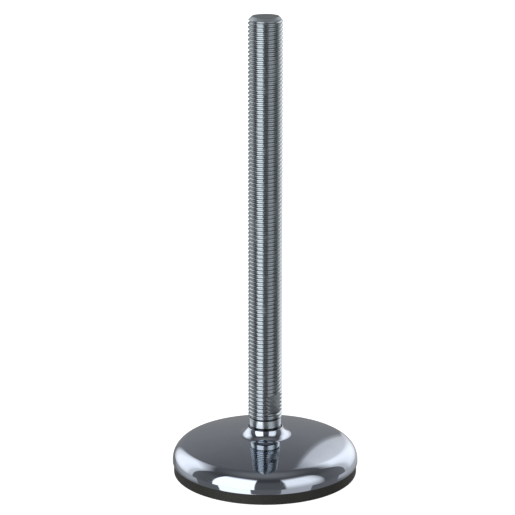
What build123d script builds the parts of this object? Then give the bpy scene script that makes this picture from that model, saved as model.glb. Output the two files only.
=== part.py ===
from build123d import *
from math import asin, cos, radians, sin, sqrt
import os

# Swivel levelling foot: a threaded stud whose ball end turns and tilts in a domed round foot on a rubber pad.
# Millimetres, +Z up, origin at the middle of the pad's underside.

# Threaded stud
thread_dia = 16.0            # major diameter, modelled as a plain shank
thread_length = 191.5        # from the relief groove to the end face
thread_end_chamfer = 1.7
thread_start_chamfer = 0.3
relief_depth = 1.1           # groove between the thread and the neck, from the thread's crest
relief_width = 0.8
neck_dia = 15.0
neck_height = 3.65           # plain round part between the ball and the relief groove
neck_edge_chamfer = 0.15
flats_width = 13.0           # across the two wrench flats
flats_length = 9.25
flats_rise = 2.7             # from the thread's start up to the flats
flats_turn = 43.0            # degrees that the first flat is turned from the front
ball_dia = 19.0
ball_flat_dia = 5.0          # the faced-off end under the ball
ball_depth = 5.8             # from the collar's top down to the ball's centre
tilt_range = 5.0             # degrees that the stud leans each way

# Foot shell
foot_dia = 88.4
shell_wall = 3.0
rim_height = 1.3             # the straight part of the side
rim_radius = 8.4             # outside, between the side and the dome
dome_radius = 157.0
collar_rise = 3.52           # above the dome's own crown
collar_bore_dia = 15.8
collar_lip_wall = 0.85
collar_lip_radius = 0.5      # round-over of the lip's outer edge
collar_bore_chamfer = 0.1
collar_flare_radius = 5.0    # hollow curve from the lip to the dome
foot_edge_chamfer = 0.3      # bottom outer edge of the side

# Rubber pad
pad_inset = 0.55             # from the shell's side in to the pad's
pad_height = 5.2             # the band that shows under the shell
pad_edge_radius = 0.5
pad_floor = 2.0              # rubber left under the plate's dish
lip_height = 3.6             # upstanding lip inside the shell
lip_hook = 1.5               # reach of the lip over the plate's edge
lip_wall = 2.0               # beside the plate's edge
groove_radii = (20.0, 27.5, 35.0)
groove_width = 2.4
groove_depth = 1.0

# Closing plate and thrust cup
plate_thickness = 2.2
plate_bend_radius = 0.8
cup_wall = 3.5               # round the ball at its widest
cup_drop = 1.9               # from the ball's centre down to the cup's edge
cup_edge_chamfer = 0.6

# Clearances
ball_clearance = 0.15        # all round the ball
lean_clearance = 0.22        # from the leaning neck down to the collar's lip
cup_clearance = 0.2          # round the cup in the plate's dish
plate_clearance = 0.1        # round the plate in the lip's groove
pad_clearance = 0.1          # round the lip in the shell

# Worked out from the sizes above
ball_radius = ball_dia / 2
seat_radius = ball_radius + ball_clearance
neck_radius = neck_dia / 2
foot_radius = foot_dia / 2
rim_top = pad_height + rim_height
rim_centre = foot_radius - rim_radius
dome_tilt = asin(rim_centre / (dome_radius - rim_radius))
dome_centre = rim_top - (dome_radius - rim_radius) * cos(dome_tilt)
collar_top = dome_centre + dome_radius + collar_rise
dish_bottom = pad_floor
dish_top = dish_bottom + plate_thickness
ball_centre = collar_top - ball_depth
cup_radius = seat_radius + cup_wall
dish_radius = cup_radius + cup_clearance
shell_inside = foot_radius - shell_wall
lip_outside = shell_inside - pad_clearance
plate_radius = lip_outside - lip_wall - plate_clearance
lean = radians(tilt_range)
neck_bottom = ball_centre + (collar_top + lean_clearance - ball_centre + neck_radius * sin(lean)) / cos(lean)
neck_top = neck_bottom + neck_height
thread_start = neck_top + relief_width
stud_top = thread_start + thread_length
bore_radius = collar_bore_dia / 2
collar_radius = bore_radius + collar_lip_wall


def height_on(radius, centre, reach):
    """Height of a circle about (0, centre) at a distance from the axis."""
    return centre + sqrt(radius ** 2 - reach ** 2)


def where_arcs_meet(radius, centre, other_radius, other_centre):
    """Reach and height of the point shared by two circles about (0, centre) and (0, other_centre)."""
    squares = radius ** 2 - other_radius ** 2 - centre ** 2 + other_centre ** 2
    height = squares / (2 * (other_centre - centre))
    return sqrt(radius ** 2 - (height - centre) ** 2), height


def middle_of_arc(centre, start, end):
    """Point half-way along the short arc between two points of a circle."""
    middle = (Vector(*start) + Vector(*end)) / 2
    away = (middle - Vector(*centre)).normalized()
    radius = (Vector(*start) - Vector(*centre)).length
    return Vector(*centre) + away * radius


def arc_about(centre, start, end):
    return ThreePointArc(start, middle_of_arc(centre, start, end), end)


def corners_at(section, *places):
    """Corners of a section's outline nearest to the given (reach, height) pairs."""
    return [section.vertices().sort_by_distance((reach, height, 0))[0] for reach, height in places]


def threaded_stud():
    shank = thread_dia / 2
    ball_end = ball_centre - sqrt(ball_radius ** 2 - (ball_flat_dia / 2) ** 2)
    neck_root = sqrt(ball_radius ** 2 - (neck_bottom - ball_centre) ** 2)
    relief = shank - relief_depth
    ball_side = (ball_radius, ball_centre)
    with BuildPart() as stud:
        with BuildSketch(Plane.XZ) as section:
            with BuildLine():
                Polyline((neck_root, neck_bottom), (neck_radius - neck_edge_chamfer, neck_bottom),
                         (neck_radius, neck_bottom + neck_edge_chamfer), (neck_radius, neck_top),
                         (relief, neck_top), (relief, thread_start),
                         (shank - thread_start_chamfer, thread_start),
                         (shank, thread_start + thread_start_chamfer), (shank, stud_top - thread_end_chamfer),
                         (shank - thread_end_chamfer, stud_top), (0, stud_top), (0, ball_end),
                         (ball_flat_dia / 2, ball_end))
                ThreePointArc((ball_flat_dia / 2, ball_end), ball_side, (neck_root, neck_bottom))
            make_face()
        revolve(axis=Axis.Z)
        flats_middle = thread_start + flats_rise + flats_length / 2
        for turn in (flats_turn, flats_turn + 180):
            face = Plane((0, 0, flats_middle)).rotated((0, 0, turn))
            with Locations(face * Pos(0, -flats_width / 2, 0)):
                Box(thread_dia, thread_dia, flats_length, align=(Align.CENTER, Align.MAX, Align.CENTER),
                    mode=Mode.SUBTRACT)
    return stud.part


def foot_shell():
    # The flare is a hollow arc through the lip's outer edge that runs smoothly into the dome.
    lip = Vector(collar_radius, collar_top)
    hub = Vector(0, dome_centre)
    far = dome_radius + collar_flare_radius
    span = (lip - hub).length
    along = (far ** 2 - collar_flare_radius ** 2 + span ** 2) / (2 * span)
    aside = sqrt(far ** 2 - along ** 2)
    ahead = (lip - hub).normalized()
    flare = hub + ahead * along + Vector(ahead.Y, -ahead.X) * aside
    flare_foot = hub + (flare - hub).normalized() * dome_radius

    rim_start = (foot_radius, rim_top)
    rim_end = (dome_radius * sin(dome_tilt), dome_centre + dome_radius * cos(dome_tilt))
    inner_dome = dome_radius - shell_wall
    inner_start = (shell_inside, rim_top)
    inner_end = (inner_dome * sin(dome_tilt), dome_centre + inner_dome * cos(dome_tilt))
    seat_top = (bore_radius, height_on(seat_radius, ball_centre, bore_radius))
    seat_foot = where_arcs_meet(seat_radius, ball_centre, inner_dome, dome_centre)
    centre = (0, dome_centre)
    with BuildPart() as shell:
        with BuildSketch(Plane.XZ) as section:
            with BuildLine():
                Line((shell_inside, pad_height), (foot_radius, pad_height))
                Line((foot_radius, pad_height), rim_start)
                arc_about((rim_centre, rim_top), rim_start, rim_end)
                arc_about(centre, rim_end, flare_foot)
                arc_about(flare, flare_foot, (collar_radius, collar_top))
                Line((collar_radius, collar_top), (bore_radius, collar_top))
                Line((bore_radius, collar_top), seat_top)
                arc_about((0, ball_centre), seat_top, seat_foot)
                arc_about(centre, seat_foot, inner_end)
                arc_about((rim_centre, rim_top), inner_end, inner_start)
                Line(inner_start, (shell_inside, pad_height))
            make_face()
            fillet(corners_at(section, (collar_radius, collar_top)), collar_lip_radius)
            chamfer(corners_at(section, (bore_radius, collar_top)), collar_bore_chamfer)
            chamfer(corners_at(section, (foot_radius, pad_height)), foot_edge_chamfer)
        revolve(axis=Axis.Z)
    return shell.part


def thrust_cup():
    edge = ball_centre - cup_drop
    seat_edge = sqrt(seat_radius ** 2 - cup_drop ** 2)
    seat_bottom = ball_centre - seat_radius
    with BuildPart() as cup:
        with BuildSketch(Plane.XZ):
            with BuildLine():
                Polyline((0, seat_bottom), (0, dish_top), (cup_radius - cup_edge_chamfer, dish_top),
                         (cup_radius, dish_top + cup_edge_chamfer), (cup_radius, edge), (seat_edge, edge))
                arc_about((0, ball_centre), (seat_edge, edge), (0, seat_bottom))
            make_face()
        revolve(axis=Axis.Z)
    return cup.part


def base_plate():
    plate_top = pad_height + plate_thickness
    dish_outside = dish_radius + plate_thickness
    with BuildPart() as plate:
        with BuildSketch(Plane.XZ) as section:
            with BuildLine():
                Polyline((0, dish_bottom), (dish_outside, dish_bottom), (dish_outside, pad_height),
                         (plate_radius, pad_height), (plate_radius, plate_top), (dish_radius, plate_top),
                         (dish_radius, dish_top), (0, dish_top), close=True)
            make_face()
            bends = corners_at(section, (dish_outside, dish_bottom), (dish_radius, plate_top))
            fillet(bends, plate_bend_radius)
        revolve(axis=Axis.Z)
    return plate.part


def rubber_pad():
    pad_radius = foot_radius - pad_inset
    plate_top = pad_height + plate_thickness
    slot_outside = plate_radius + plate_clearance
    hook_inside = slot_outside - lip_hook
    lip_top = pad_height + lip_height
    recess = dish_radius + plate_thickness + plate_clearance
    lip_bend = lip_outside - rim_centre
    lip_shoulder = (rim_centre + sqrt(lip_bend ** 2 - (lip_top - rim_top) ** 2), lip_top)
    with BuildPart() as pad:
        with BuildSketch(Plane.XZ) as section:
            with BuildLine():
                Polyline(lip_shoulder, (hook_inside, lip_top), (hook_inside, plate_top),
                         (slot_outside, plate_top), (slot_outside, pad_height), (recess, pad_height),
                         (recess, pad_floor), (0, pad_floor), (0, 0), (pad_radius, 0),
                         (pad_radius, pad_height), (lip_outside, pad_height), (lip_outside, rim_top))
                arc_about((rim_centre, rim_top), (lip_outside, rim_top), lip_shoulder)
            make_face()
            soft_edges = corners_at(section, (pad_radius, 0), lip_shoulder, (hook_inside, lip_top))
            fillet(soft_edges, pad_edge_radius)
            for radius in groove_radii:
                with Locations((radius, 0)):
                    Rectangle(groove_width, groove_depth, align=(Align.CENTER, Align.MIN), mode=Mode.SUBTRACT)
        revolve(axis=Axis.Z)
    return pad.part


os.makedirs("parts", exist_ok=True)
for name, make in (("threaded_stud", threaded_stud), ("foot_shell", foot_shell), ("thrust_cup", thrust_cup),
                   ("base_plate", base_plate), ("rubber_pad", rubber_pad)):
    export_step(make(), f"parts/{name}.step")

print(f"stud top {stud_top:.2f}, collar top {collar_top:.2f}, thread from {thread_start:.2f}")
print(f"ball centre {ball_centre:.2f}, neck from {neck_bottom:.2f}, collar foot {collar_top - collar_rise:.2f}")
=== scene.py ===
import bpy
import bmesh
from math import acos, asin, atan2, cos, pi, radians, sin, sqrt, tan
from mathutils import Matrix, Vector


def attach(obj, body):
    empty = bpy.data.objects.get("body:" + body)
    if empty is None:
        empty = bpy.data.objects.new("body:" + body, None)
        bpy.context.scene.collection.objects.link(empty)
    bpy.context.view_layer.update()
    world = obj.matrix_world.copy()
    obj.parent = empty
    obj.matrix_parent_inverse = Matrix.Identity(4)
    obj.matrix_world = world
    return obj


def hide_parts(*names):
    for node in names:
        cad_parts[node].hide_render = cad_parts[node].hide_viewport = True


# Swivel levelling foot: threaded stud, polished round foot and rubber pad.
# The shapes are worked out in millimetres and put into the meshes in metres.

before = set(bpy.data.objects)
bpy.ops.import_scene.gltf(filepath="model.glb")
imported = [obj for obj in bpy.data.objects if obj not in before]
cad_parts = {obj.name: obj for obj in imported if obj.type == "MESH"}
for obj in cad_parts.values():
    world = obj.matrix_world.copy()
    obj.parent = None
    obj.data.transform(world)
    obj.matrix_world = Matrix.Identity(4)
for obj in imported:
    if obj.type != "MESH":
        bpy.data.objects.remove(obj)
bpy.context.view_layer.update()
scene = bpy.context.scene
print("frame loaded:", ", ".join(sorted(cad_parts)))


# Small tools for the turned shapes

def arcPoints(centre, radius, startAngle, endAngle, count):
    # angles in radians, 0 points away from the axis and pi / 2 points up
    steps = [startAngle + (endAngle - startAngle) * i / (count - 1) for i in range(count)]
    return [(centre[0] + radius * cos(a), centre[1] + radius * sin(a)) for a in steps]


def linePoints(start, end, count):
    return [(start[0] + (end[0] - start[0]) * i / count, start[1] + (end[1] - start[1]) * i / count)
            for i in range(1, count)]


def roundCorner(before, corner, after, radius, count=5):
    # points of the round-over that takes the place of one corner
    a = (Vector(before) - Vector(corner)).normalized()
    b = (Vector(after) - Vector(corner)).normalized()
    half = acos(max(-1.0, min(1.0, a.dot(b)))) / 2
    centre = Vector(corner) + (a + b).normalized() * radius / sin(half)
    first = Vector(corner) + a * radius / tan(half) - centre
    last = Vector(corner) + b * radius / tan(half) - centre
    turn = atan2(first.x * last.y - first.y * last.x, first.dot(last))
    start = atan2(first.y, first.x)
    return arcPoints(centre, radius, start, start + turn, count)


def turnedMesh(name, section, segments):
    # a closed section of (reach, height) pairs in millimetres, turned about the axis
    bm = bmesh.new()
    circle = [(cos(2 * pi * j / segments), sin(2 * pi * j / segments)) for j in range(segments)]
    rings = []
    for reach, height in section:
        if reach < 1e-6:
            rings.append([bm.verts.new((0, 0, height / 1000))])
        else:
            rings.append([bm.verts.new((reach / 1000 * x, reach / 1000 * y, height / 1000))
                          for x, y in circle])
    for lower, upper in zip(rings, rings[1:] + rings[:1]):
        if len(lower) == 1 and len(upper) == 1:
            continue
        for j in range(segments):
            n = (j + 1) % segments
            corners = [lower[j % len(lower)], lower[n % len(lower)],
                       upper[n % len(upper)], upper[j % len(upper)]]
            bm.faces.new(list(dict.fromkeys(corners)))  # a point on the axis counts once
    bmesh.ops.recalc_face_normals(bm, faces=bm.faces)
    mesh = bpy.data.meshes.new(name)
    bm.to_mesh(mesh)
    bm.free()
    return mesh


def addPiece(name, mesh, sharpAngle):
    piece = bpy.data.objects.new(name, mesh)
    scene.collection.objects.link(piece)
    mesh.shade_smooth()
    mesh.set_sharp_from_angle(angle=radians(sharpAngle))
    return piece


def cutMesh(piece, tool, operation):
    cut = piece.modifiers.new("cut", "BOOLEAN")
    cut.operation = operation
    cut.solver = "MANIFOLD"
    cut.object = tool
    shaped = bpy.data.meshes.new_from_object(piece.evaluated_get(bpy.context.evaluated_depsgraph_get()))
    piece.modifiers.clear()
    piece.data = shaped
    bpy.data.objects.remove(tool)


# Small tools for the materials

def newMaterial(name):
    material = bpy.data.materials.new(name)
    material.use_nodes = True
    material.node_tree.nodes.clear()
    return material, material.node_tree


def addNode(tree, kind, place=(0, 0), **values):
    # values are set on the node itself or, where it has no such setting, on its input socket
    node = tree.nodes.new(kind)
    node.location = place
    for key, value in values.items():
        if hasattr(node, key):
            setattr(node, key, value)
        else:
            node.inputs[key.replace("_", " ")].default_value = value
    return node


def addMath(tree, operation, a, b=None, c=None, place=(0, 0)):
    node = addNode(tree, "ShaderNodeMath", place, operation=operation)
    for socket, value in zip(node.inputs, (a, b, c)):
        if isinstance(value, (int, float)):
            socket.default_value = value
        elif value is not None:
            tree.links.new(value, socket)
    return node.outputs[0]


def addRange(tree, value, low, high, outLow=0.0, outHigh=1.0, place=(0, 0), smooth=True):
    node = addNode(tree, "ShaderNodeMapRange", place, interpolation_type="SMOOTHSTEP" if smooth else "LINEAR")
    for socket, v in zip(node.inputs[:5], (value, low, high, outLow, outHigh)):
        if isinstance(v, (int, float)):
            socket.default_value = v
        else:
            tree.links.new(v, socket)
    return node.outputs[0]


def addMix(tree, share, a, b, place=(0, 0)):
    node = addNode(tree, "ShaderNodeMix", place, data_type="RGBA")
    for socket, v in zip((node.inputs[0], node.inputs[6], node.inputs[7]), (share, a, b)):
        if isinstance(v, bpy.types.NodeSocket):
            tree.links.new(v, socket)
        else:
            socket.default_value = v
    return node.outputs[2]


def newGroup(name, inputs, outputs):
    tree = bpy.data.node_groups.new(name, "ShaderNodeTree")
    for label, kind, value in inputs:
        socket = tree.interface.new_socket(name=label, in_out="INPUT", socket_type=kind)
        if value is not None:
            socket.default_value = value
    for label, kind in outputs:
        tree.interface.new_socket(name=label, in_out="OUTPUT", socket_type=kind)
    return tree, tree.nodes.new("NodeGroupInput"), tree.nodes.new("NodeGroupOutput")


def placeGroup(tree, group, place=(0, 0), **values):
    node = tree.nodes.new("ShaderNodeGroup")
    node.node_tree = group
    node.location = place
    for key, value in values.items():
        socket = node.inputs[key]
        if isinstance(value, bpy.types.NodeSocket):
            tree.links.new(value, socket)
        else:
            socket.default_value = value
    return node


# Camera, at the place that the photograph was taken from

camera = {
    "place": (-3.62, -964.5, 381.67),  # mm from the middle of the foot's underside
    "lookDown": 15.941,  # degrees
    "lens": 150.34,
    "sensor": 36,
    "clip": (0.05, 30),
}

cameraData = bpy.data.cameras.new("camera")
cameraData.sensor_width = camera["sensor"]
cameraData.lens = camera["lens"]
cameraData.clip_start, cameraData.clip_end = camera["clip"]
cameraObject = bpy.data.objects.new("camera", cameraData)
cameraObject.location = Vector(camera["place"]) / 1000
cameraObject.rotation_euler = (radians(90 - camera["lookDown"]), 0, 0)
scene.collection.objects.link(cameraObject)
scene.camera = cameraObject
scene.view_settings.view_transform = "Standard"
print("camera placed")


# Polished foot

foot = {
    "dia": 88.4,
    "wall": 3.0,
    "bottom": 5.20,  # the pad shows below this
    "rimHeight": 1.30,  # straight side
    "rimRadius": 8.4,
    "domeRadius": 157.0,
    "collarRise": 3.52,
    "boreRadius": 7.9,
    "lipWall": 0.42,
    "lipRound": 0.2,  # outside
    "lipRadius": 0.08,  # inside
    "flareRadius": 5.5,
    "edgeRadius": 0.3,
    "ballCentre": 17.0,
    "seatRadius": 9.65,
    "segments": 288,
    "points": {"side": 3, "rim": 44, "dome": 40, "flare": 26, "lip": 12, "socket": 8, "under": 16,
               "innerRim": 10},  # along each part of the section
    "sharpAngle": 32,
}


def footSection():
    radius = foot["dia"] / 2
    rimTop = foot["bottom"] + foot["rimHeight"]
    rimCentre = (radius - foot["rimRadius"], rimTop)
    tilt = asin(rimCentre[0] / (foot["domeRadius"] - foot["rimRadius"]))
    domeCentre = rimTop - (foot["domeRadius"] - foot["rimRadius"]) * cos(tilt)
    collarTop = domeCentre + foot["domeRadius"] + foot["collarRise"]
    collarRadius = foot["boreRadius"] + foot["lipWall"]

    # the flare is a hollow arc that runs smoothly from the dome into the lip's rounded edge
    lip, hub = Vector((collarRadius, collarTop)), Vector((0, domeCentre))
    far = foot["domeRadius"] + foot["flareRadius"]
    span = (lip - hub).length
    along = (far ** 2 - foot["flareRadius"] ** 2 + span ** 2) / (2 * span)
    aside = sqrt(far ** 2 - along ** 2)
    ahead = (lip - hub).normalized()
    flare = hub + ahead * along + Vector((ahead.y, -ahead.x)) * aside
    toDome = atan2(hub.y - flare.y, hub.x - flare.x)
    domeEnd = atan2(flare.y - hub.y, flare.x - hub.x)

    # the socket meets the underside of the dome at the height called meet
    inner = foot["domeRadius"] - foot["wall"]
    seat, ball = foot["seatRadius"], foot["ballCentre"]
    meet = (seat ** 2 - inner ** 2 - ball ** 2 + domeCentre ** 2) / (2 * (domeCentre - ball))
    seatFoot = atan2(meet - ball, sqrt(seat ** 2 - (meet - ball) ** 2))
    seatTop = acos(foot["boreRadius"] / seat)
    innerStart = atan2(meet - domeCentre, sqrt(inner ** 2 - (meet - domeCentre) ** 2))

    inside, edge, points = radius - foot["wall"], foot["edgeRadius"], foot["points"]
    section = [(inside, foot["bottom"])]
    section += roundCorner((inside, foot["bottom"]), (radius, foot["bottom"]), (radius, rimTop), edge)
    section += linePoints((radius, foot["bottom"] + edge), (radius, rimTop), points["side"])
    section += arcPoints(rimCentre, foot["rimRadius"], 0, pi / 2 - tilt, points["rim"])
    section += arcPoints(hub, foot["domeRadius"], pi / 2 - tilt, domeEnd, points["dome"])[1:]
    roundover, flareRadius = foot["lipRound"], foot["flareRadius"]
    roundY = collarTop - roundover
    roundX = flare.x - sqrt((flareRadius + roundover) ** 2 - (roundY - flare.y) ** 2)
    touch = atan2(roundY - flare.y, roundX - flare.x) % (2 * pi)
    section += arcPoints(flare, flareRadius, toDome % (2 * pi), touch, points["flare"])[1:-1]
    section += arcPoints((roundX, roundY), roundover, touch - pi, pi / 2, points["lip"])
    boreTop, boreFoot = (foot["boreRadius"], collarTop), (foot["boreRadius"], ball)
    section += roundCorner(tuple(lip), boreTop, boreFoot, foot["lipRadius"])
    # inside, downwards: the socket for the ball, the underside of the dome and the inner rim
    section += arcPoints((0, ball), seat, seatTop, seatFoot, points["socket"])
    section += arcPoints(hub, inner, innerStart, pi / 2 - tilt, points["under"])[1:]
    innerRadius = foot["rimRadius"] - foot["wall"]
    section += arcPoints(rimCentre, innerRadius, pi / 2 - tilt, 0, points["innerRim"])[1:]
    return section, collarTop


footOutline, collarTop = footSection()
footMesh = turnedMesh("polishedFoot", footOutline, foot["segments"])
polishedFoot = addPiece("polishedFoot", footMesh, foot["sharpAngle"])
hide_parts("foot_shell")
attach(polishedFoot, "foot")
print("polished foot:", len(polishedFoot.data.polygons), "faces, collar top", round(collarTop, 2))


# Threaded stud

stud = {
    "threadDia": 16.0,
    "pitch": 1.8932,
    "rootPhase": 217.46,  # height in mm of one groove at the left edge of the stud
    "leftEdge": 185,  # degrees from +X to the left edge as the camera sees it
    "crest": 0.28,  # flat crest, in pitches
    "root": 0.28,  # flat root, in pitches
    "flankAngle": 30,
    "crestSoft": 0.07,
    "crestRun": 0.6,  # length of the softened crest edge against crestSoft
    "rootSoft": 0.03,
    "length": 191.5,
    "endChamfer": 1.7,
    "startChamfer": 0.3,
    "reliefDepth": 1.1,
    "reliefWidth": 0.8,
    "neckHeight": 3.65,
    "neckGap": 0.899,  # from the collar's top up to the neck
    "neckDia": 15.0,
    "neckEdge": 0.15,
    "neckTopEdge": 0.06,
    "reliefEdge": 0.1,
    "overlap": 0.12,  # of the shank with the thread
    "ballDia": 19.0,
    "ballFlat": 5.0,
    "flatsWidth": 13.0,
    "flatsLength": 9.25,
    "flatsRise": 2.7,
    "flatsTurn": 43.0,  # degrees about the axis
    "cutterWidth": 24.0,
    "cutterDepth": 14.0,
    "spareTurns": 5,  # of the helix past the ends, cut away again
    "spareBelow": 3,  # of them at the lower end
    "spareRadius": 0.3,  # of the blank outside the thread
    "segments": 84,
    "blankSegments": 120,
    "shankSegments": 144,
    "ballPoints": 60,
    "sharpAngle": 38,
}

neckBottom = collarTop + stud["neckGap"]
neckTop = neckBottom + stud["neckHeight"]
threadStart = neckTop + stud["reliefWidth"]
studTop = threadStart + stud["length"]


def helixMesh(name):
    # a right-hand helical strip that runs past both ends of the thread, closed at both ends
    pitch, major, segments = stud["pitch"], stud["threadDia"] / 2, stud["segments"]
    slope, soft = tan(radians(stud["flankAngle"])), stud["crestSoft"]
    flank = (1 - stud["crest"] - stud["root"]) * pitch / 2
    depth = flank / slope
    halfRoot, rootEdge = stud["root"] * pitch / 2, major - depth + stud["rootSoft"]
    run = soft * stud["crestRun"]
    section = [(-halfRoot, rootEdge), (0, major - depth), (halfRoot, rootEdge),
               (halfRoot + flank / 2, major - depth / 2),
               (halfRoot + flank - soft * slope, major - soft),
               (halfRoot + flank + run, major),
               (pitch - halfRoot - flank - run, major),
               (pitch - halfRoot - flank + soft * slope, major - soft),
               (pitch - halfRoot - flank / 2, major - depth / 2)]
    turns = int(stud["length"] / pitch) + stud["spareTurns"]
    turnsBelow = int((stud["rootPhase"] - threadStart) / pitch) + stud["spareBelow"]
    start = stud["rootPhase"] - pitch * turnsBelow - pitch * radians(stud["leftEdge"]) / (2 * pi)
    bm = bmesh.new()
    rows = []
    for s in range(turns * segments + 1):
        angle, base = 2 * pi * s / segments, start + pitch * s / segments
        c, d = cos(angle) / 1000, sin(angle) / 1000
        rows.append([bm.verts.new((r * c, r * d, (base + z) / 1000)) for z, r in section])
    for a, b in zip(rows, rows[1:]):
        for k in range(len(section) - 1):
            bm.faces.new((a[k], b[k], b[k + 1], a[k + 1]))
    for s in range((turns - 1) * segments):
        a, b = rows[s], rows[s + 1]
        above, aboveNext = rows[s + segments], rows[s + segments + 1]
        bm.faces.new((a[-1], b[-1], aboveNext[0], above[0]))
    # each end is a fan from the axis to one turn of the strip's edge and the strip's own end
    low = [row[0] for row in rows[:segments + 1]] + rows[0][:0:-1]
    high = [row[-1] for row in rows[-segments - 1:]] + rows[-1][-2::-1]
    for rim, height in ((low, start), (high, start + pitch * (turns + 0.5))):
        hub = bm.verts.new((0, 0, height / 1000))
        for a, b in zip(rim, rim[1:] + rim[:1]):
            if a is not b:
                bm.faces.new((a, b, hub))
    bmesh.ops.recalc_face_normals(bm, faces=bm.faces)
    mesh = bpy.data.meshes.new(name)
    bm.to_mesh(mesh)
    bm.free()
    return mesh


def boxObject(name, low, high, turn):
    bm = bmesh.new()
    bmesh.ops.create_cube(bm, size=1)
    size = Vector(high) - Vector(low)
    bmesh.ops.scale(bm, vec=size / 1000, verts=bm.verts)
    bmesh.ops.translate(bm, vec=(Vector(high) + Vector(low)) / 2000, verts=bm.verts)
    mesh = bpy.data.meshes.new(name)
    bm.to_mesh(mesh)
    bm.free()
    box = bpy.data.objects.new(name, mesh)
    box.rotation_euler = (0, 0, radians(turn))
    scene.collection.objects.link(box)
    return box


def makeStud():
    major, neck = stud["threadDia"] / 2, stud["neckDia"] / 2
    spare = major + stud["spareRadius"]
    thread = bpy.data.objects.new("threadedStud", helixMesh("threadedStud"))
    scene.collection.objects.link(thread)
    startEdge, endEdge = major - stud["startChamfer"], major - stud["endChamfer"]
    blank = [(0, threadStart), (startEdge, threadStart), (spare, threadStart + spare - startEdge),
             (spare, studTop - (spare - endEdge)), (endEdge, studTop), (0, studTop)]
    envelope = bpy.data.objects.new("blank", turnedMesh("blank", blank, stud["blankSegments"]))
    scene.collection.objects.link(envelope)
    cutMesh(thread, envelope, "INTERSECT")
    flatsLow, wide = threadStart + stud["flatsRise"], stud["cutterWidth"] / 2
    low = (-wide, -stud["cutterDepth"], flatsLow)
    high = (wide, -stud["flatsWidth"] / 2, flatsLow + stud["flatsLength"])
    for turn in (0, 180):
        cutMesh(thread, boxObject("flatCutter", low, high, stud["flatsTurn"] + turn), "DIFFERENCE")

    # below the thread: ball, neck and relief groove
    ball, centre, flat = stud["ballDia"] / 2, foot["ballCentre"], stud["ballFlat"] / 2
    edge, topEdge, deepEdge = stud["neckEdge"], stud["neckTopEdge"], stud["reliefEdge"]
    relief, shankTop = major - stud["reliefDepth"], threadStart + stud["overlap"]
    ballEnd = asin((neckBottom - centre) / ball)
    lower = [(0, centre - sqrt(ball ** 2 - flat ** 2))]
    lower += arcPoints((0, centre), ball, -acos(flat / ball), ballEnd, stud["ballPoints"])
    lower += [(neck - edge, neckBottom), (neck, neckBottom + edge), (neck, neckTop - topEdge),
              (neck - topEdge, neckTop), (relief + deepEdge, neckTop), (relief, neckTop + deepEdge),
              (relief, shankTop), (0, shankTop)]
    shank = bpy.data.objects.new("shank", turnedMesh("shank", lower, stud["shankSegments"]))
    scene.collection.objects.link(shank)
    bm = bmesh.new()
    bm.from_mesh(thread.data)
    bm.from_mesh(shank.data)
    mesh = bpy.data.meshes.new("threadedStud")
    bm.to_mesh(mesh)
    bm.free()
    for made in (thread, shank):
        bpy.data.objects.remove(made)
    return addPiece("threadedStud", mesh, stud["sharpAngle"])


threadedStud = makeStud()
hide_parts("threaded_stud")
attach(threadedStud, "stud")
print("threaded stud:", len(threadedStud.data.polygons), "faces, top", round(studTop, 2))


# Rubber pad

pad = {
    "inset": 0.55,
    "height": 5.20,
    "edge": 0.5,
    "topEdge": 0.25,
    "lipHeight": 3.60,
    "lipHook": 1.5,
    "lipWall": 2.0,
    "lipGap": 0.1,
    "plate": 2.2,
    "recess": 15.65,
    "floor": 2.0,
    "grooves": (20.0, 27.5, 35.0),
    "grooveWidth": 2.4,
    "grooveDepth": 1.0,
    "grooveDraft": 0.15,
    "flatEnd": 3.0,  # of the underside, before the rounded edge
    "lipLand": 0.6,  # outer part of the lip's flat top
    "segments": 192,
    "points": {"edge": 7, "side": 4, "topEdge": 4, "bend": 8},
    "sharpAngle": 40,
}


def padSection():
    radius, height, points = foot["dia"] / 2 - pad["inset"], pad["height"], pad["points"]
    outside = foot["dia"] / 2 - foot["wall"] - pad["lipGap"]
    slot = outside - pad["lipWall"]
    hook = slot - pad["lipHook"]
    rimTop, rimCentre = foot["bottom"] + foot["rimHeight"], foot["dia"] / 2 - foot["rimRadius"]
    plateTop, lipTop = height + pad["plate"], height + pad["lipHeight"]
    bend = outside - rimCentre
    shoulder = rimCentre + sqrt(bend ** 2 - (lipTop - rimTop) ** 2)
    recess, half, draft = pad["recess"], pad["grooveWidth"] / 2, pad["grooveDraft"]
    section = [(0, pad["floor"]), (0, 0)]
    for middle in pad["grooves"]:
        section += [(middle - half, 0), (middle - half + draft, pad["grooveDepth"]),
                    (middle + half - draft, pad["grooveDepth"]), (middle + half, 0)]
    section += [(radius - pad["edge"] - pad["flatEnd"], 0)]
    section += roundCorner((0, 0), (radius, 0), (radius, height), pad["edge"], points["edge"])
    section += linePoints((radius, pad["edge"]), (radius, height), points["side"])
    top = (radius, height)
    section += roundCorner((radius, 0), top, (outside, height), pad["topEdge"], points["topEdge"])
    section += [(outside, height)]
    section += arcPoints((rimCentre, rimTop), bend, 0, asin((lipTop - rimTop) / bend), points["bend"])
    # the hook over the plate's rim, then the recess under the plate
    section += [(shoulder - pad["lipLand"], lipTop), (hook, lipTop), (hook, plateTop), (slot, plateTop),
                (slot, height), (recess, height), (recess, pad["floor"])]
    return section


padMesh = turnedMesh("rubberPad", padSection(), pad["segments"])
rubberPad = addPiece("rubberPad", padMesh, pad["sharpAngle"])
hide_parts("rubber_pad")
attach(rubberPad, "foot")
print("rubber pad:", len(rubberPad.data.polygons), "faces")


# Effects that several materials share

def objectPlace(tree, place):
    return addNode(tree, "ShaderNodeTexCoord", place).outputs["Object"]


def addTexture(tree, kind, where, place, **values):
    node = addNode(tree, "ShaderNodeTex" + kind, place, **values)
    tree.links.new(where, node.inputs["Vector"])
    return node


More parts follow.
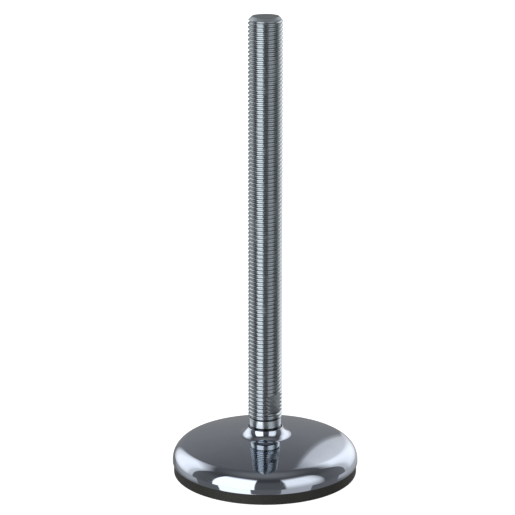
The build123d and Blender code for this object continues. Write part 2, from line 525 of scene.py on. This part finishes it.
def addBand(tree, value, low, high, place, falling=False, smooth=True):
    # a mask that rises from 0 to 1, or falls from 1 to 0, between two measures in millimetres
    outLow, outHigh = (1.0, 0.0) if falling else (0.0, 1.0)
    return addRange(tree, value, low / 1000, high / 1000, outLow, outHigh, place, smooth)


wear = {
    "smudges": (0.42, 0.72),
    "bendScale": 45.0,
    "bend": 0.02,  # metres, takes the straightness out of the hairlines
    "hairScale": 120.0,
    "hairWidth": 0.012,
    "patchScale": 90.0,
    "patches": (0.56, 0.66),  # only some of the hairlines show
    "ringDrift": 0.35,  # change of the rings per radian round the axis
    "ringRange": (0.3, 0.7),  # part of the rings' noise that is used
}


def makeWearGroup():
    # tiny handling marks: soft smudges and a few fine hairline scratches
    tree, start, end = newGroup("handlingMarks", [("Smudge Scale", "NodeSocketFloat", 60.0)], [
        ("Smudge", "NodeSocketFloat"), ("Scratch", "NodeSocketFloat")])
    where = objectPlace(tree, (-900, 0))
    smudge = addTexture(tree, "Noise", where, (-600, 200), Detail=3.0, Roughness=0.55)
    tree.links.new(start.outputs["Smudge Scale"], smudge.inputs["Scale"])
    soft = addRange(tree, smudge.outputs[0], *wear["smudges"], place=(-300, 200))
    tree.links.new(soft, end.inputs["Smudge"])
    bend = addTexture(tree, "Noise", where, (-900, -300), Scale=wear["bendScale"], Detail=2.0)
    shifted = addNode(tree, "ShaderNodeVectorMath", (-700, -300), operation="MULTIPLY_ADD")
    shifted.inputs[1].default_value = [wear["bend"]] * 3
    tree.links.new(bend.outputs[1], shifted.inputs[0])
    tree.links.new(where, shifted.inputs[2])
    cells = addTexture(tree, "Voronoi", shifted.outputs[0], (-500, -300), feature="DISTANCE_TO_EDGE",
                       Scale=wear["hairScale"])
    hair = addRange(tree, cells.outputs["Distance"], 0.0, wear["hairWidth"], 1.0, 0.0, (-300, -300))
    patch = addTexture(tree, "Noise", where, (-500, -550), Scale=wear["patchScale"], Detail=1.0)
    some = addRange(tree, patch.outputs[0], *wear["patches"], place=(-300, -550))
    scratch = addMath(tree, "MULTIPLY", hair, some, place=(-100, -350))
    tree.links.new(scratch, end.inputs["Scratch"])
    return tree


def makeRingGroup():
    # rings round the axis, as turning, rolling or polishing leaves them, and the reach from the axis
    tree, start, end = newGroup("turnedRings", [
        ("Rings Per Metre", "NodeSocketFloat", 3000.0), ("Along Axis", "NodeSocketFloat", 1.0)],
        [("Rings", "NodeSocketFloat"), ("Reach", "NodeSocketFloat")])
    parts = addNode(tree, "ShaderNodeSeparateXYZ", (-700, 0))
    tree.links.new(objectPlace(tree, (-900, 0)), parts.inputs[0])
    x, y, z = parts.outputs
    squareX = addMath(tree, "MULTIPLY", x, x, place=(-500, 150))
    squareY = addMath(tree, "MULTIPLY", y, y, place=(-500, 0))
    squares = addMath(tree, "ADD", squareX, squareY, place=(-350, 80))
    reach = addMath(tree, "SQRT", squares, place=(-200, 80))
    along = addMath(tree, "MULTIPLY", z, start.outputs["Along Axis"], place=(-350, -150))
    line = addMath(tree, "ADD", reach, along, place=(-100, -50))
    ring = addMath(tree, "MULTIPLY", line, start.outputs["Rings Per Metre"], place=(-50, -200))
    turn = addMath(tree, "ARCTAN2", y, x, place=(-350, -350))
    coord = addNode(tree, "ShaderNodeCombineXYZ", (50, -50))
    tree.links.new(ring, coord.inputs[0])
    tree.links.new(addMath(tree, "MULTIPLY", turn, wear["ringDrift"], place=(-100, -350)), coord.inputs[1])
    rings = addTexture(tree, "Noise", coord.outputs[0], (250, -50), Scale=1.0, Detail=2.0, Roughness=0.6)
    tree.links.new(rings.outputs[0], end.inputs["Rings"])
    tree.links.new(reach, end.inputs["Reach"])
    return tree


handlingMarks = makeWearGroup()
turnedRings = makeRingGroup()


def addWear(tree, look):
    # both effects with the values of one material
    marks = placeGroup(tree, handlingMarks, (-600, 250), **{"Smudge Scale": look["smudgeScale"]})
    rings = placeGroup(tree, turnedRings, (-600, -100), **{
        "Rings Per Metre": look["rings"], "Along Axis": look["ringsAlong"]})
    return marks.outputs, rings.outputs


def bumpFrom(tree, height, strength, distance, place, normal=None):
    node = addNode(tree, "ShaderNodeBump", place, Strength=strength, Distance=distance)
    tree.links.new(height, node.inputs["Height"])
    if normal is not None:
        tree.links.new(normal, node.inputs["Normal"])
    return node.outputs[0]


def finishSurface(tree, color, rough, normal, metallic):
    surface = addNode(tree, "ShaderNodeBsdfPrincipled", (700, 0), Metallic=metallic)
    output = addNode(tree, "ShaderNodeOutputMaterial", (1000, 0))
    tree.links.new(color, surface.inputs["Base Color"])
    tree.links.new(rough, surface.inputs["Roughness"])
    tree.links.new(normal, surface.inputs["Normal"])
    tree.links.new(surface.outputs[0], output.inputs[0])


# bumps are (strength, distance in metres)
chrome = {
    "color": (0.450, 0.492, 0.568, 1),
    "smudgeColor": (0.425, 0.465, 0.540, 1),
    "paintedGapShade": (0.050, 0.055, 0.065, 1),  # painted shade in the gap round the neck
    "boreEnd": (0.05, 0.10),  # mm past the bore's wall
    "smudgeScale": 55.0,
    "rings": 2600.0,
    "ringsAlong": 0.4,
    "ringRough": 0.01,
    "roughLow": 0.025,
    "roughHigh": 0.06,
    "scratchRough": 0.12,
    "ringBump": (0.012, 0.00002),
}


def polishedMaterial():
    material, tree = newMaterial("polishedShell")
    marks, rings = addWear(tree, chrome)
    color = addMix(tree, marks["Smudge"], chrome["color"], chrome["smudgeColor"], (0, 200))
    # painted shade: the bore's wall and the lip's inner edge round the neck are coloured near black
    boreStart, boreEnd = (foot["boreRadius"] + past for past in chrome["boreEnd"])
    paintedGapShade = addBand(tree, rings["Reach"], boreStart, boreEnd, (-400, 650), falling=True)
    color = addMix(tree, paintedGapShade, color, chrome["paintedGapShade"], (200, 300))
    roughLow, roughSpan = chrome["roughLow"], chrome["roughHigh"] - chrome["roughLow"]
    low = addRange(tree, rings["Rings"], *wear["ringRange"], roughLow, roughLow + chrome["ringRough"],
                   (-200, 0))
    rough = addMath(tree, "MULTIPLY_ADD", marks["Smudge"], roughSpan, low, place=(100, 0))
    rough = addMath(tree, "MULTIPLY_ADD", marks["Scratch"], chrome["scratchRough"], rough, place=(250, 0))
    normal = bumpFrom(tree, rings["Rings"], *chrome["ringBump"], (250, -250))
    finishSurface(tree, color, rough, normal, 1.0)
    return material


# heights and reaches from the axis are in millimetres
steel = {
    "crest": (0.378, 0.420, 0.450, 1),
    "groove": (0.318, 0.357, 0.386, 1),
    "neck": (0.490, 0.535, 0.565, 1),
    "relief": (0.045, 0.052, 0.062, 1),  # painted shade in the relief groove, also on the stud inside the collar
    "endFace": (0.235, 0.262, 0.285, 1),
    "grooveReach": 6.95,
    "crestReach": 7.6,
    "reliefReach": (6.93, 7.10),
    "blend": 0.1,
    "gapFoot": (1.5, 0.8),  # below the collar's top
    "gapTop": (0.02, 0.10),  # above the neck's underside
    "speckScale": 900.0,
    "specks": (0.35, 0.65, 0.55, 1.0),  # range of the noise, range of the darkening
    "smudgeScale": 130.0,
    "rings": 5200.0,
    "ringsAlong": 1.0,
    "roughLow": 0.14,
    "roughHigh": 0.27,
    "grooveRough": 0.12,
    "chamferRough": 0.30,
    "endRough": 0.12,
    "ringBump": (0.10, 0.00002),
    "scratchBump": (0.15, 0.00002),
}


def studMaterial():
    material, tree = newMaterial("studSteel")
    marks, rings = addWear(tree, steel)
    where, reach = objectPlace(tree, (-900, 800)), rings["Reach"]
    parts = addNode(tree, "ShaderNodeSeparateXYZ", (-600, 800))
    tree.links.new(where, parts.inputs[0])
    height = parts.outputs[2]

    # masks: the thread's grooves darker in patches, then the parts of the stud from below, with painted shade
    # in the relief groove and in the gap under the neck
    deep = addBand(tree, reach, steel["grooveReach"], steel["crestReach"], (-300, 350), falling=True)
    speck = addTexture(tree, "Noise", where, (-600, 500), Scale=steel["speckScale"], Detail=3.0)
    patchy = addRange(tree, speck.outputs[0], *steel["specks"], (-400, 550))
    grooveMask = addMath(tree, "MULTIPLY", deep, patchy, place=(-150, 450))
    # painted shade on the stud inside the collar, up to just above the neck's underside
    gapLow, gapHigh = (collarTop - drop for drop in steel["gapFoot"])
    inCollar = addBand(tree, height, gapLow, gapHigh, (-400, 1650))
    neckLow, neckHigh = (neckBottom + rise for rise in steel["gapTop"])
    underNeck = addBand(tree, height, neckLow, neckHigh, (-400, 1500), falling=True)
    gap = addMath(tree, "MULTIPLY", underNeck, inCollar, place=(-200, 1500))
    blend, chamfer = steel["blend"], studTop - stud["endChamfer"]
    overNeck = addBand(tree, height, neckTop - blend, neckTop, (-400, 1050), smooth=False)
    underThread = addBand(tree, height, threadStart - blend, threadStart + blend, (-400, 900),
                          falling=True, smooth=False)
    # painted shade in the relief groove between the neck and the thread
    relief = addBand(tree, reach, *steel["reliefReach"], (-400, 750), falling=True)
    relief = addMath(tree, "MULTIPLY", relief, overNeck, place=(-200, 750))
    relief = addMath(tree, "MULTIPLY", relief, underThread, place=(-50, 750))
    overThread = addBand(tree, height, chamfer - blend, chamfer, (-400, 1350), smooth=False)
    onEnd = addBand(tree, height, studTop - 2 * blend, studTop - blend, (-400, 1200), smooth=False)
    onChamfer = addMath(tree, "SUBTRACT", overThread, onEnd, place=(200, 1200))

    color = addMix(tree, grooveMask, steel["crest"], steel["groove"], (100, 300))
    color = addMix(tree, underThread, color, steel["neck"], (250, 450))
    # painted shade: the relief groove and the gap under the neck get the near-black relief colour
    color = addMix(tree, relief, color, steel["relief"], (400, 450))
    color = addMix(tree, gap, color, steel["relief"], (480, 600))
    color = addMix(tree, onEnd, color, steel["endFace"], (550, 450))
    rough = addRange(tree, marks["Smudge"], 0.0, 1.0, steel["roughLow"], steel["roughHigh"], (0, 0))
    rough = addMath(tree, "MULTIPLY_ADD", grooveMask, steel["grooveRough"], rough, place=(200, 0))
    rough = addMath(tree, "MULTIPLY_ADD", onChamfer, steel["chamferRough"], rough, place=(300, 100))
    rough = addMath(tree, "MULTIPLY_ADD", onEnd, steel["endRough"], rough, place=(400, 100))
    normal = bumpFrom(tree, rings["Rings"], *steel["ringBump"], (100, -300))
    normal = bumpFrom(tree, marks["Scratch"], *steel["scratchBump"], (350, -300), normal)
    finishSurface(tree, color, rough, normal, 1.0)
    return material


rubber = {
    "color": (0.014, 0.014, 0.0105, 1),
    "dusty": (0.033, 0.032, 0.025, 1),
    "grainScale": 2600.0,
    "cloudScale": 70.0,
    "pitScale": 1500.0,
    "cloudDust": (0.45, 0.75),
    "grainDust": (0.4, 0.7),
    "grainRough": (0.3, 0.7, 0.56, 0.72),  # range of the noise, range of the roughness
    "grainBump": (0.35, 0.00004),
    "pitBump": (0.15, 0.00005),
}


def rubberMaterial():
    material, tree = newMaterial("padRubber")
    where = objectPlace(tree, (-900, 0))
    grain = addTexture(tree, "Noise", where, (-600, 200), Scale=rubber["grainScale"], Detail=4.0,
                       Roughness=0.6)
    cloud = addTexture(tree, "Noise", where, (-600, -50), Scale=rubber["cloudScale"], Detail=3.0)
    pits = addTexture(tree, "Voronoi", where, (-600, -300), Scale=rubber["pitScale"])
    cloudDust = addRange(tree, cloud.outputs[0], *rubber["cloudDust"], place=(-350, -50))
    grainDust = addRange(tree, grain.outputs[0], *rubber["grainDust"], place=(-350, 200))
    dust = addMath(tree, "MULTIPLY", cloudDust, grainDust, place=(-100, 100))
    color = addMix(tree, dust, rubber["color"], rubber["dusty"], (100, 200))
    rough = addRange(tree, grain.outputs[0], *rubber["grainRough"], (100, 0))
    normal = bumpFrom(tree, grain.outputs[0], *rubber["grainBump"], (50, -250))
    normal = bumpFrom(tree, pits.outputs[0], *rubber["pitBump"], (300, -250), normal)
    finishSurface(tree, color, rough, normal, 0.0)
    return material


# the two pieces inside the foot keep the shapes of the solids and get these finishes
innerSteel = {
    "smudgeScale": 90.0,
    "ringsAlong": 1.0,
    "ringBump": (0.25, 0.00003),
    "scratchBump": (0.2, 0.00002),
}
cupSteel = {
    "color": (0.42, 0.42, 0.43, 1),
    "stain": (0.26, 0.25, 0.25, 1),
    "rough": (0.28, 0.42),
    "rings": 4200.0,
}
plateSteel = {
    "color": (0.55, 0.56, 0.57, 1),
    "stain": (0.42, 0.42, 0.42, 1),
    "rough": (0.34, 0.48),
    "rings": 900.0,
}


def innerMaterial(name, own):
    look = {**innerSteel, **own}
    material, tree = newMaterial(name)
    marks, rings = addWear(tree, look)
    color = addMix(tree, marks["Smudge"], look["color"], look["stain"], (0, 250))
    rough = addRange(tree, rings["Rings"], *wear["ringRange"], *look["rough"], (0, 0))
    normal = bumpFrom(tree, rings["Rings"], *look["ringBump"], (100, -300))
    normal = bumpFrom(tree, marks["Scratch"], *look["scratchBump"], (350, -300), normal)
    finishSurface(tree, color, rough, normal, 1.0)
    return material


def giveMaterial(piece, material):
    piece.data.materials.clear()
    piece.data.materials.append(material)


giveMaterial(polishedFoot, polishedMaterial())
giveMaterial(threadedStud, studMaterial())
giveMaterial(rubberPad, rubberMaterial())
for nodeName, slotName, look in (("thrust_cup", "cup_steel", cupSteel),
                                 ("base_plate", "plate_steel", plateSteel)):
    made = innerMaterial(slotName, look)
    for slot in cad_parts[nodeName].material_slots:
        slot.material = made
print("materials made")


# Studio: four tall soft panels round the object and a darker room between and above them.
# Each panel comes again below the horizon, as a polished table shows it. The camera itself sees white.
# Angles are in degrees. A stop is (angle, brightness, cover), across the panel from its middle or up it.

panels = {
    "rightWall": {
        "turn": 140.5, "light": 1.80,
        "across": [(-28.2, 0.50, 0), (-27.0, 0.50, 1), (-20.5, 0.56, 1), (-14.0, 0.80, 1), (-10.5, 0.88, 1),
                   (4.5, 1.0, 1), (14.5, 0.95, 1), (19.5, 0.82, 1), (23.5, 0.66, 1), (26.5, 0.57, 1),
                   (29.1, 0.50, 1), (29.7, 0.50, 0)],
        "up": [(-9, 0.60, 0), (-7, 0.68, 1), (0, 0.88, 1), (8, 1.0, 1), (43, 1.0, 1), (55.5, 1.0, 0)],
    },
    "leftWall": {
        "turn": -125.0, "light": 1.83,
        "across": [(-31.5, 0.65, 0), (-25.0, 0.68, 1), (-15.0, 0.95, 1), (0.0, 1.0, 1), (15.0, 0.86, 1),
                   (20.0, 0.62, 1), (26.2, 0.55, 1), (27.6, 0.50, 0)],
        "up": [(-9, 0.66, 0), (-7, 0.72, 1), (5, 1.0, 1), (41, 1.0, 1), (56.5, 1.0, 0)],
    },
    "rightFill": {
        "turn": 47.0, "light": 1.61,
        "across": [(-23.6, 1.0, 0), (-20.4, 1.0, 1), (10.0, 1.0, 1), (18.0, 0.86, 1), (23.0, 0.70, 1),
                   (28.0, 0.42, 1), (30.5, 0.30, 0)],
        "up": [(-9, 0.45, 0), (-7, 0.47, 1), (0, 0.56, 1), (5, 0.68, 1), (10, 0.81, 1), (15, 0.92, 1),
               (22, 1.0, 1), (44, 1.0, 1), (47, 1.0, 0.85), (51.5, 1.0, 0.45), (56, 1.0, 0.12), (60, 1.0, 0)],
    },
    "leftKey": {
        "turn": -39.5, "light": 2.15,
        "across": [(-27.2, 1.0, 0), (-26.0, 1.0, 1), (26.0, 1.0, 1), (27.0, 1.0, 0)],
        "up": [(-9, 1.0, 0), (-7, 1.0, 1), (48.5, 1.0, 1), (52, 1.0, 0.75), (56.5, 1.0, 0.2), (60, 1.0, 0)],
    },
    # the same four in the table, lower and weaker
    "rightWallLow": {
        "turn": 134.0, "light": 0.80,
        "across": [(-34.5, 1.0, 0), (-33.0, 1.0, 1), (30.0, 0.9, 1), (36.0, 0.7, 0)],
        "up": [(-27, 0.30, 0), (-20, 0.80, 1), (-12, 0.95, 1), (-9, 1.05, 1), (-7, 1.2, 0)],
    },
    "leftWallLow": {
        "turn": -110.0, "light": 0.66,
        "across": [(-36.0, 0.6, 0), (-29.0, 0.8, 1), (-14.0, 0.9, 1), (17.5, 1.0, 1), (19.5, 1.0, 0)],
        "up": [(-27, 0.40, 0), (-20, 0.95, 1), (-12, 1.0, 1), (-9, 1.1, 1), (-7, 1.3, 0)],
    },
    "rightFillLow": {
        "turn": 39.0, "light": 0.74,
        "across": [(-20.0, 1.0, 0), (-19.0, 1.0, 1), (19.0, 1.0, 1), (20.0, 1.0, 0)],
        "up": [(-75, 0.9, 1), (-20, 0.95, 1), (-9, 1.0, 1), (-7, 1.1, 0)],
    },
    "leftKeyLow": {
        "turn": -38.0, "light": 2.05,
        "across": [(-20.9, 1.0, 0), (-20.0, 1.0, 1), (20.0, 1.0, 1), (20.6, 1.0, 0)],
        "up": [(-80, 1.0, 1), (-9, 1.0, 1), (-7, 1.0, 0)],
    },
}

# the room's (elevation, brightness) on the camera's side and behind the foot
room = {
    "front": [(-60, 0.20), (-10, 0.20), (-2, 0.15), (22, 0.152), (30, 0.145), (36, 0.125), (45, 0.082),
              (55, 0.085), (62, 0.125), (70, 0.20), (77, 0.25), (90, 0.29)],
    "back": [(-60, 0.20), (-12, 0.26), (0, 0.31), (20, 0.31), (30, 0.27), (45, 0.21), (60, 0.16),
             (70, 0.20), (77, 0.25), (90, 0.29)],
    "change": (-0.4, 0.9),  # from one to the other, by the direction's part along Y
    "edgeOn": 0.02,  # a panel fades out where a direction runs nearly along it
}

floorLook = {
    "size": 4,  # metres
    "drop": 0.0001,  # metres below the pad
    "paint": (0.5, 0.5, 0.5, 1),
    "glow": 0.90,
}


def addRamp(tree, stops, value, place):
    # brightness in the colour and cover in the alpha, over half a turn of angle from 0 to 1
    node = addNode(tree, "ShaderNodeValToRGB", place)
    while len(node.color_ramp.elements) < len(stops):
        node.color_ramp.elements.new(0.5)
    for element, (angle, bright, *cover) in zip(node.color_ramp.elements, stops):
        element.position = angle / 180 + 0.5
        element.color = (bright, bright, bright, cover[0] if cover else 1)
    tree.links.new(value, node.inputs[0])
    return node


def makePanelGroup():
    # where a direction meets an upright panel: half a turn of angle across and up it, each from 0 to 1
    tree, start, end = newGroup("panelPlace", [
        ("Direction", "NodeSocketVector", None), ("Towards", "NodeSocketVector", None),
        ("Aside", "NodeSocketVector", None)],
        [("Across", "NodeSocketFloat"), ("Up", "NodeSocketFloat"), ("Front", "NodeSocketFloat")])

    def dot(name, place):
        node = addNode(tree, "ShaderNodeVectorMath", place, operation="DOT_PRODUCT")
        tree.links.new(start.outputs["Direction"], node.inputs[0])
        tree.links.new(start.outputs[name], node.inputs[1])
        return node.outputs["Value"]

    ahead, aside = dot("Towards", (-800, 200)), dot("Aside", (-800, 0))
    safe = addMath(tree, "MAXIMUM", ahead, room["edgeOn"], place=(-600, 200))
    up = addNode(tree, "ShaderNodeSeparateXYZ", (-800, -200))
    tree.links.new(start.outputs["Direction"], up.inputs[0])
    for label, value, y in (("Across", aside, 0), ("Up", up.outputs[2], -200)):
        angle = addMath(tree, "ARCTAN2", value, safe, place=(-400, y))
        tree.links.new(addMath(tree, "MULTIPLY_ADD", angle, 1 / pi, 0.5, place=(-200, y)), end.inputs[label])
    facing = addRange(tree, ahead, 0.0, 2 * room["edgeOn"], place=(-200, 200))
    tree.links.new(facing, end.inputs["Front"])
    return tree


def makeStudio():
    world = bpy.data.worlds.new("studio")
    world.use_nodes = True
    scene.world = world
    tree = world.node_tree
    tree.nodes.clear()
    direction = addNode(tree, "ShaderNodeTexCoord", (-1600, 0)).outputs["Generated"]
    parts = addNode(tree, "ShaderNodeSeparateXYZ", (-1400, 0))
    tree.links.new(direction, parts.inputs[0])
    elevation = addMath(tree, "ARCSINE", parts.outputs[2], place=(-1250, 150))
    height = addMath(tree, "MULTIPLY_ADD", elevation, 1 / pi, 0.5, place=(-1100, 150))
    front = addRamp(tree, room["front"], height, (-900, 300)).outputs[0]
    back = addRamp(tree, room["back"], height, (-900, 0)).outputs[0]
    behind = addRange(tree, parts.outputs[1], *room["change"], place=(-1100, -250))
    light = addMix(tree, behind, front, back, (-600, 200))
    group = makePanelGroup()
    for i, panel in enumerate(panels.values()):
        turn, y = radians(panel["turn"]), -500 - 350 * i
        spot = placeGroup(tree, group, (-1100, y), **{
            "Direction": direction,
            "Towards": (sin(turn), -cos(turn), 0),
            "Aside": (cos(turn), sin(turn), 0)})
        across = addRamp(tree, panel["across"], spot.outputs["Across"], (-850, y))
        up = addRamp(tree, panel["up"], spot.outputs["Up"], (-550, y))
        cover = addMath(tree, "MULTIPLY", across.outputs[1], up.outputs[1], place=(-250, y))
        cover = addMath(tree, "MULTIPLY", cover, spot.outputs["Front"], place=(-100, y))
        bright = addMath(tree, "MULTIPLY", across.outputs[0], up.outputs[0], place=(-250, y - 150))
        bright = addMath(tree, "MULTIPLY", bright, panel["light"], place=(-100, y - 150))
        light = addMix(tree, cover, light, bright, (50 + 150 * i, 0))
    lit = addNode(tree, "ShaderNodeBackground", (750, 0))
    tree.links.new(light, lit.inputs[0])
    white = addNode(tree, "ShaderNodeBackground", (750, -200), Color=(1, 1, 1, 1), Strength=1.0)
    seen = addNode(tree, "ShaderNodeMixShader", (1000, 0))
    tree.links.new(addNode(tree, "ShaderNodeLightPath", (750, 300)).outputs["Is Camera Ray"], seen.inputs[0])
    tree.links.new(lit.outputs[0], seen.inputs[1])
    tree.links.new(white.outputs[0], seen.inputs[2])
    tree.links.new(seen.outputs[0], addNode(tree, "ShaderNodeOutputWorld", (1250, 0)).inputs[0])


def makeFloor():
    bm = bmesh.new()
    bmesh.ops.create_grid(bm, x_segments=1, y_segments=1, size=floorLook["size"])
    mesh = bpy.data.meshes.new("floor")
    bm.to_mesh(mesh)
    bm.free()
    floor = bpy.data.objects.new("floor", mesh)
    floor.location.z = -floorLook["drop"]
    scene.collection.objects.link(floor)
    material, tree = newMaterial("whiteFloor")
    paint = addNode(tree, "ShaderNodeBsdfDiffuse", (0, 0), Color=floorLook["paint"])
    glow = addNode(tree, "ShaderNodeEmission", (0, -150), Color=(1, 1, 1, 1), Strength=floorLook["glow"])
    dark = addNode(tree, "ShaderNodeEmission", (0, -300), Color=(0, 0, 0, 1), Strength=0.0)
    pick = addNode(tree, "ShaderNodeMixShader", (250, -200))
    tree.links.new(addNode(tree, "ShaderNodeLightPath", (0, 300)).outputs["Is Camera Ray"], pick.inputs[0])
    tree.links.new(dark.outputs[0], pick.inputs[1])
    tree.links.new(glow.outputs[0], pick.inputs[2])
    both = addNode(tree, "ShaderNodeAddShader", (450, 0))
    tree.links.new(paint.outputs[0], both.inputs[0])
    tree.links.new(pick.outputs[0], both.inputs[1])
    tree.links.new(both.outputs[0], addNode(tree, "ShaderNodeOutputMaterial", (650, 0)).inputs[0])
    giveMaterial(floor, material)
    floor.visible_glossy = False  # the metal mirrors the panels below the horizon instead


makeStudio()
makeFloor()
print("studio ready")
